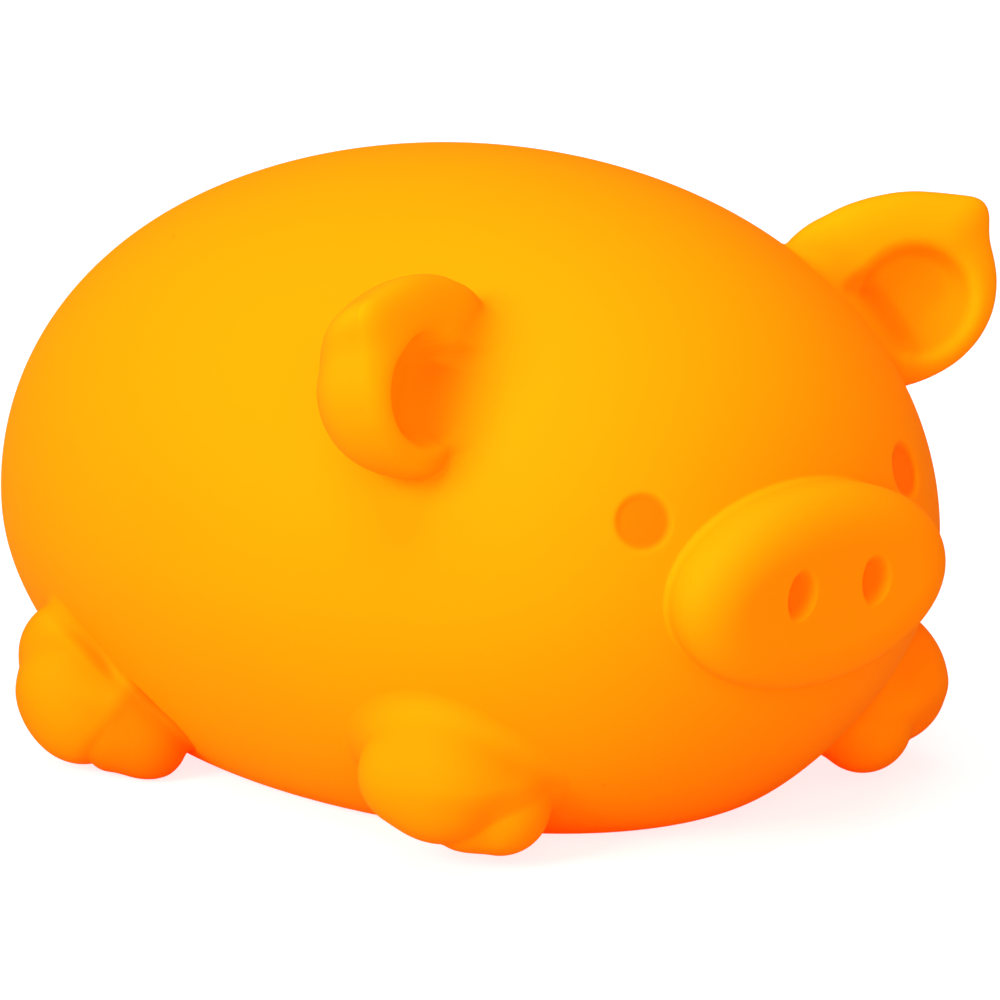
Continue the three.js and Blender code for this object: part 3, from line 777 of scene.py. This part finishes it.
def makeTail():
    f = tailForm
    rump = bodySurface(np.array(-math.pi / 2), np.array(0.0))
    share = np.linspace(1, 0, f["rows"])
    turn = share * f["turns"] * 2 * math.pi
    curl = f["curl"] * (1 - share / 4)
    path = np.stack([rump[0] - share * f["back"], curl * np.cos(turn), rump[2] + f["rise"] + curl * np.sin(turn)], -1)
    bend = np.linspace(0, math.pi / 2, 30)[1:]
    start = path[-1]
    rooted = start + f["root"] * np.stack([1 - np.cos(bend), 0 * bend, -np.sin(bend)], -1)
    inside = rooted[-1] + np.linspace(0, 6, 25)[1:, None] * np.array([1.0, 0, 0])
    path = np.concatenate([path, rooted, inside])
    ahead = unit(np.gradient(path, axis=0))
    beside = unit(np.array([1.0, 0, 0]) - ahead * ahead[:, :1])
    flat = np.abs(ahead[:, 0]) > 0.97
    beside[flat] = np.array([0, 0, 1.0])
    for _ in range(3):
        beside = unit(np.concatenate([beside[:1], (beside[:-2] + beside[1:-1] + beside[2:]) / 3, beside[-1:]]))
    above = unit(np.cross(ahead, beside))
    buried = np.full(len(rooted) + len(inside), f["thick"])
    thick = np.concatenate([f["thick"] + (f["tip"] - f["thick"]) * share, buried])
    around = np.linspace(0, 2 * math.pi, f["columns"], endpoint=False)
    tubes = path[:, None] + thick[:, None, None] * (np.cos(around)[None, :, None] * beside[:, None]
                                                    + np.sin(around)[None, :, None] * above[:, None])
    # the tip is a half ball
    ball = np.linspace(0, math.pi / 2, 10)[1:-1]
    cap = (path[0] - ahead[0] * f["tip"] * np.cos(ball)[:, None])[:, None] + (f["tip"] * np.sin(ball))[:, None, None] * (
        np.cos(around)[None, :, None] * beside[0] + np.sin(around)[None, :, None] * above[0])
    columns = np.concatenate([cap, tubes])
    fillet = np.full(f["columns"], f["fillet"])
    rings, last = joinToBody(columns, fillet, fillet, steps=8)
    piece = makePiece("tail_curl", [closedGrid(rings, path[0] - ahead[0] * f["tip"], last)], rubber, "pig_body",
                      {"hollowAndShade": [np.zeros(rings.shape[0] * rings.shape[1] + 2)]})
    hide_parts("tail")


makeTail()


# Plug, its glue and the dough inside
def turned(profile, sides):
    # rings of a profile of (radius, height) pairs turned about the plug's upright
    # line; the profile starts and ends on that line
    turn = np.linspace(0, 2 * math.pi, sides, endpoint=False)
    r, h = np.array(profile[1:-1]).T
    heights = np.repeat(h[:, None], sides, 1) - restHeight
    rings = np.stack([r[:, None] * np.cos(turn), r[:, None] * np.sin(turn), heights], -1)
    return rings, np.array([0, 0, profile[0][1] - restHeight]), np.array([0, 0, profile[-1][1] - restHeight])


plugLook = {"main": colour(232, 130, 18), "cloud": colour(205, 105, 14), "roughness": 0.45}
glueLook = {"main": colour(244, 214, 150), "cloud": colour(232, 190, 110), "roughness": 0.22}
glueRing = {"radius": 6.95, "halfWidth": 0.62, "halfHeight": 0.56, "level": 1.0}
doughForm = {"wall": 3.4, "lump": 0.25, "bossRadius": 13.0, "bossTop": 6.6}
doughLook = {"main": colour(250, 222, 160), "cloud": colour(236, 196, 120), "roughness": 0.85}


def makeMottled(name, look, scale, bumpDistance):
    # two close tones in soft clouds, with a grain in the surface at the same scale
    sheet = Sheet(name)
    clouds = sheet.noise(scale, 4.0)
    base = sheet.blendColours(clouds.ramp(0.3, 0.7), look["main"], look["cloud"])
    roughness = look["roughness"] + (clouds - 0.5) * 0.2
    grain = sheet.noise(scale * 8, 3.0)
    bump = sheet.node("ShaderNodeBump", {}, {"Height": grain, "Strength": 0.3, "Distance": bumpDistance}, "Normal")
    shader = sheet.node("ShaderNodeBsdfPrincipled", {},
                        {"Base Color": base, "Roughness": roughness, "Normal": bump}, "BSDF")
    return sheet.finish(shader)


def makeFilling():
    profile = [(0, 0.55), (0.6, 0.55), (1.2, 0.45), (5.3, 0.4), (5.75, 0.5), (5.95, 0.8), (6.0, 1.2),
               (6.0, 1.6), (3.7, 1.6), (3.7, 4.5), (5.0, 4.5), (5.2, 4.7), (4.2, 5.7), (3.7, 5.9), (0.6, 5.9), (0, 5.9)]
    plug = makePiece("fill_plug_turned", [closedGrid(*turned(profile, 96))],
                     makeMottled("plug_rubber", plugLook, 300.0, 0.0001), "pig_body")
    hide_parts("fill_plug")
    turn = np.linspace(0, 2 * math.pi, 144, endpoint=False)
    bead = np.linspace(0, 2 * math.pi, 24, endpoint=False)
    swell = 1 + 0.07 * np.sin(3 * turn + 0.5) + 0.05 * np.sin(7 * turn)
    g = glueRing
    r = g["radius"] + g["halfWidth"] * np.cos(bead)[:, None] * swell
    h = g["level"] + g["halfHeight"] * np.sin(bead)[:, None] * (1 + 0 * turn)
    rings = np.stack([r * np.cos(turn), r * np.sin(turn), h - restHeight], -1)
    glue = makePiece("plug_glue_ring", [wrappedGrid(rings)],
                     makeMottled("clear_glue", glueLook, 400.0, 0.00005), "pig_body")
    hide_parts("plug_glue_bead")
    d = doughForm
    poles = np.linspace(-math.pi / 2, math.pi / 2, 122)[1:-1]
    pole, around = np.meshgrid(poles, np.linspace(-math.pi, math.pi, 180, endpoint=False), indexing="ij")
    ends = bodySurface(np.array([-math.pi / 2, math.pi / 2]), np.zeros(2))
    lump = d["lump"] * np.sin(5 * pole + 2 * np.cos(around)) * np.cos(3 * around) * np.cos(pole)
    inner = bodySurface(pole, around)
    slope = unit(bodySlope(inner + np.array([0, 0, 0.05])))
    inner = inner - (d["wall"] + lump)[..., None] * slope
    # the dough's underside stays above the skin's floor, and above the port's boss
    overPort = (np.hypot(inner[..., 0], inner[..., 1]) < d["bossRadius"]) & (inner[..., 2] < 0)
    floor = -restHeight + np.where(overPort, d["bossTop"], d["wall"])
    inner[..., 2] = np.maximum(inner[..., 2], floor)
    ends = ends - np.array([[-d["wall"], 0, 0], [d["wall"], 0, 0]])
    dough = makePiece("dough_filling", [closedGrid(inner, ends[0], ends[1])],
                      makeMottled("dough", doughLook, 120.0, 0.0004), "pig_body")
    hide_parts("dough_core")


makeFilling()


# Floor, backdrop and light
def makeStage():
    sheet = Sheet("floor_white")
    seen = sheet.node("ShaderNodeLightPath", output="Is Camera Ray")
    tone = sheet.noise(3.0, 2.0)
    base = sheet.blendColours(tone.ramp(0.2, 0.8), [0.53, 0.53, 0.53, 1], [0.55, 0.55, 0.55, 1])
    soft = sheet.node("ShaderNodeBsdfDiffuse", {}, {"Color": base}, "BSDF")
    white = sheet.node("ShaderNodeEmission", {}, {"Color": [1, 1, 1, 1], "Strength": 0.78}, "Emission")
    both = sheet.node("ShaderNodeAddShader", {}, {0: soft, 1: white}, "Shader")
    shader = sheet.node("ShaderNodeMixShader", {}, {0: seen, 1: soft, 2: both}, "Shader")
    material = sheet.finish(shader)
    mesh = bpy.data.meshes.new("floor")
    mesh.from_pydata([(-3, -3, 0), (3, -3, 0), (3, 3, 0), (-3, 3, 0)], [], [(0, 1, 2, 3)])
    floor = bpy.data.objects.new("floor", mesh)
    bpy.context.scene.collection.objects.link(floor)
    mesh.materials.append(material)


lights = {
    "surround": 0.17,
    "key": {"power": 8.8, "size": 0.6, "away": 1.3, "turn": -44.0, "height": 26.0},
    "fill": {"power": 4.2, "size": 0.9, "away": 1.3, "turn": 6.0, "height": 20.0},
    "top": {"power": 8.5, "size": 1.2, "away": 1.3, "turn": -40.0, "height": 78.0},
}


def makeLamp(name, lamp):
    # a round soft lamp that faces the body; turn is counted from the camera's own
    # side, and negative is to its left
    turn = math.radians(camera["azimuth"] + lamp["turn"])
    height = math.radians(lamp["height"])
    towards = np.array([math.sin(turn) * math.cos(height), -math.cos(turn) * math.cos(height), math.sin(height)])
    data = bpy.data.lights.new(name, "AREA")
    data.shape = "DISK"
    data.size = lamp["size"]
    data.energy = lamp["power"]
    made = bpy.data.objects.new(name, data)
    bpy.context.scene.collection.objects.link(made)
    made.location = Vector(middle + towards * lamp["away"])
    made.rotation_mode = "QUATERNION"
    made.rotation_quaternion = Vector(-towards).to_track_quat("-Z", "Y")


def makeLight(values):
    world = bpy.data.worlds.new("surround")
    bpy.context.scene.world = world
    world.use_nodes = True
    tree = world.node_tree
    tree.nodes.clear()
    path = tree.nodes.new("ShaderNodeLightPath")
    lit, seen, mix, out = (tree.nodes.new(kind) for kind in (
        "ShaderNodeBackground", "ShaderNodeBackground", "ShaderNodeMixShader", "ShaderNodeOutputWorld"))
    lit.inputs["Strength"].default_value = values["surround"]
    lit.inputs["Color"].default_value = (1, 1, 1, 1)
    seen.inputs["Color"].default_value = (1, 1, 1, 1)
    tree.links.new(path.outputs["Is Camera Ray"], mix.inputs[0])
    tree.links.new(lit.outputs[0], mix.inputs[1])
    tree.links.new(seen.outputs[0], mix.inputs[2])
    tree.links.new(mix.outputs[0], out.inputs[0])
    for name in ("key", "fill", "top"):
        makeLamp(name, values[name])


makeStage()
makeLight(lights)

bpy.context.scene.view_settings.view_transform = "Standard"
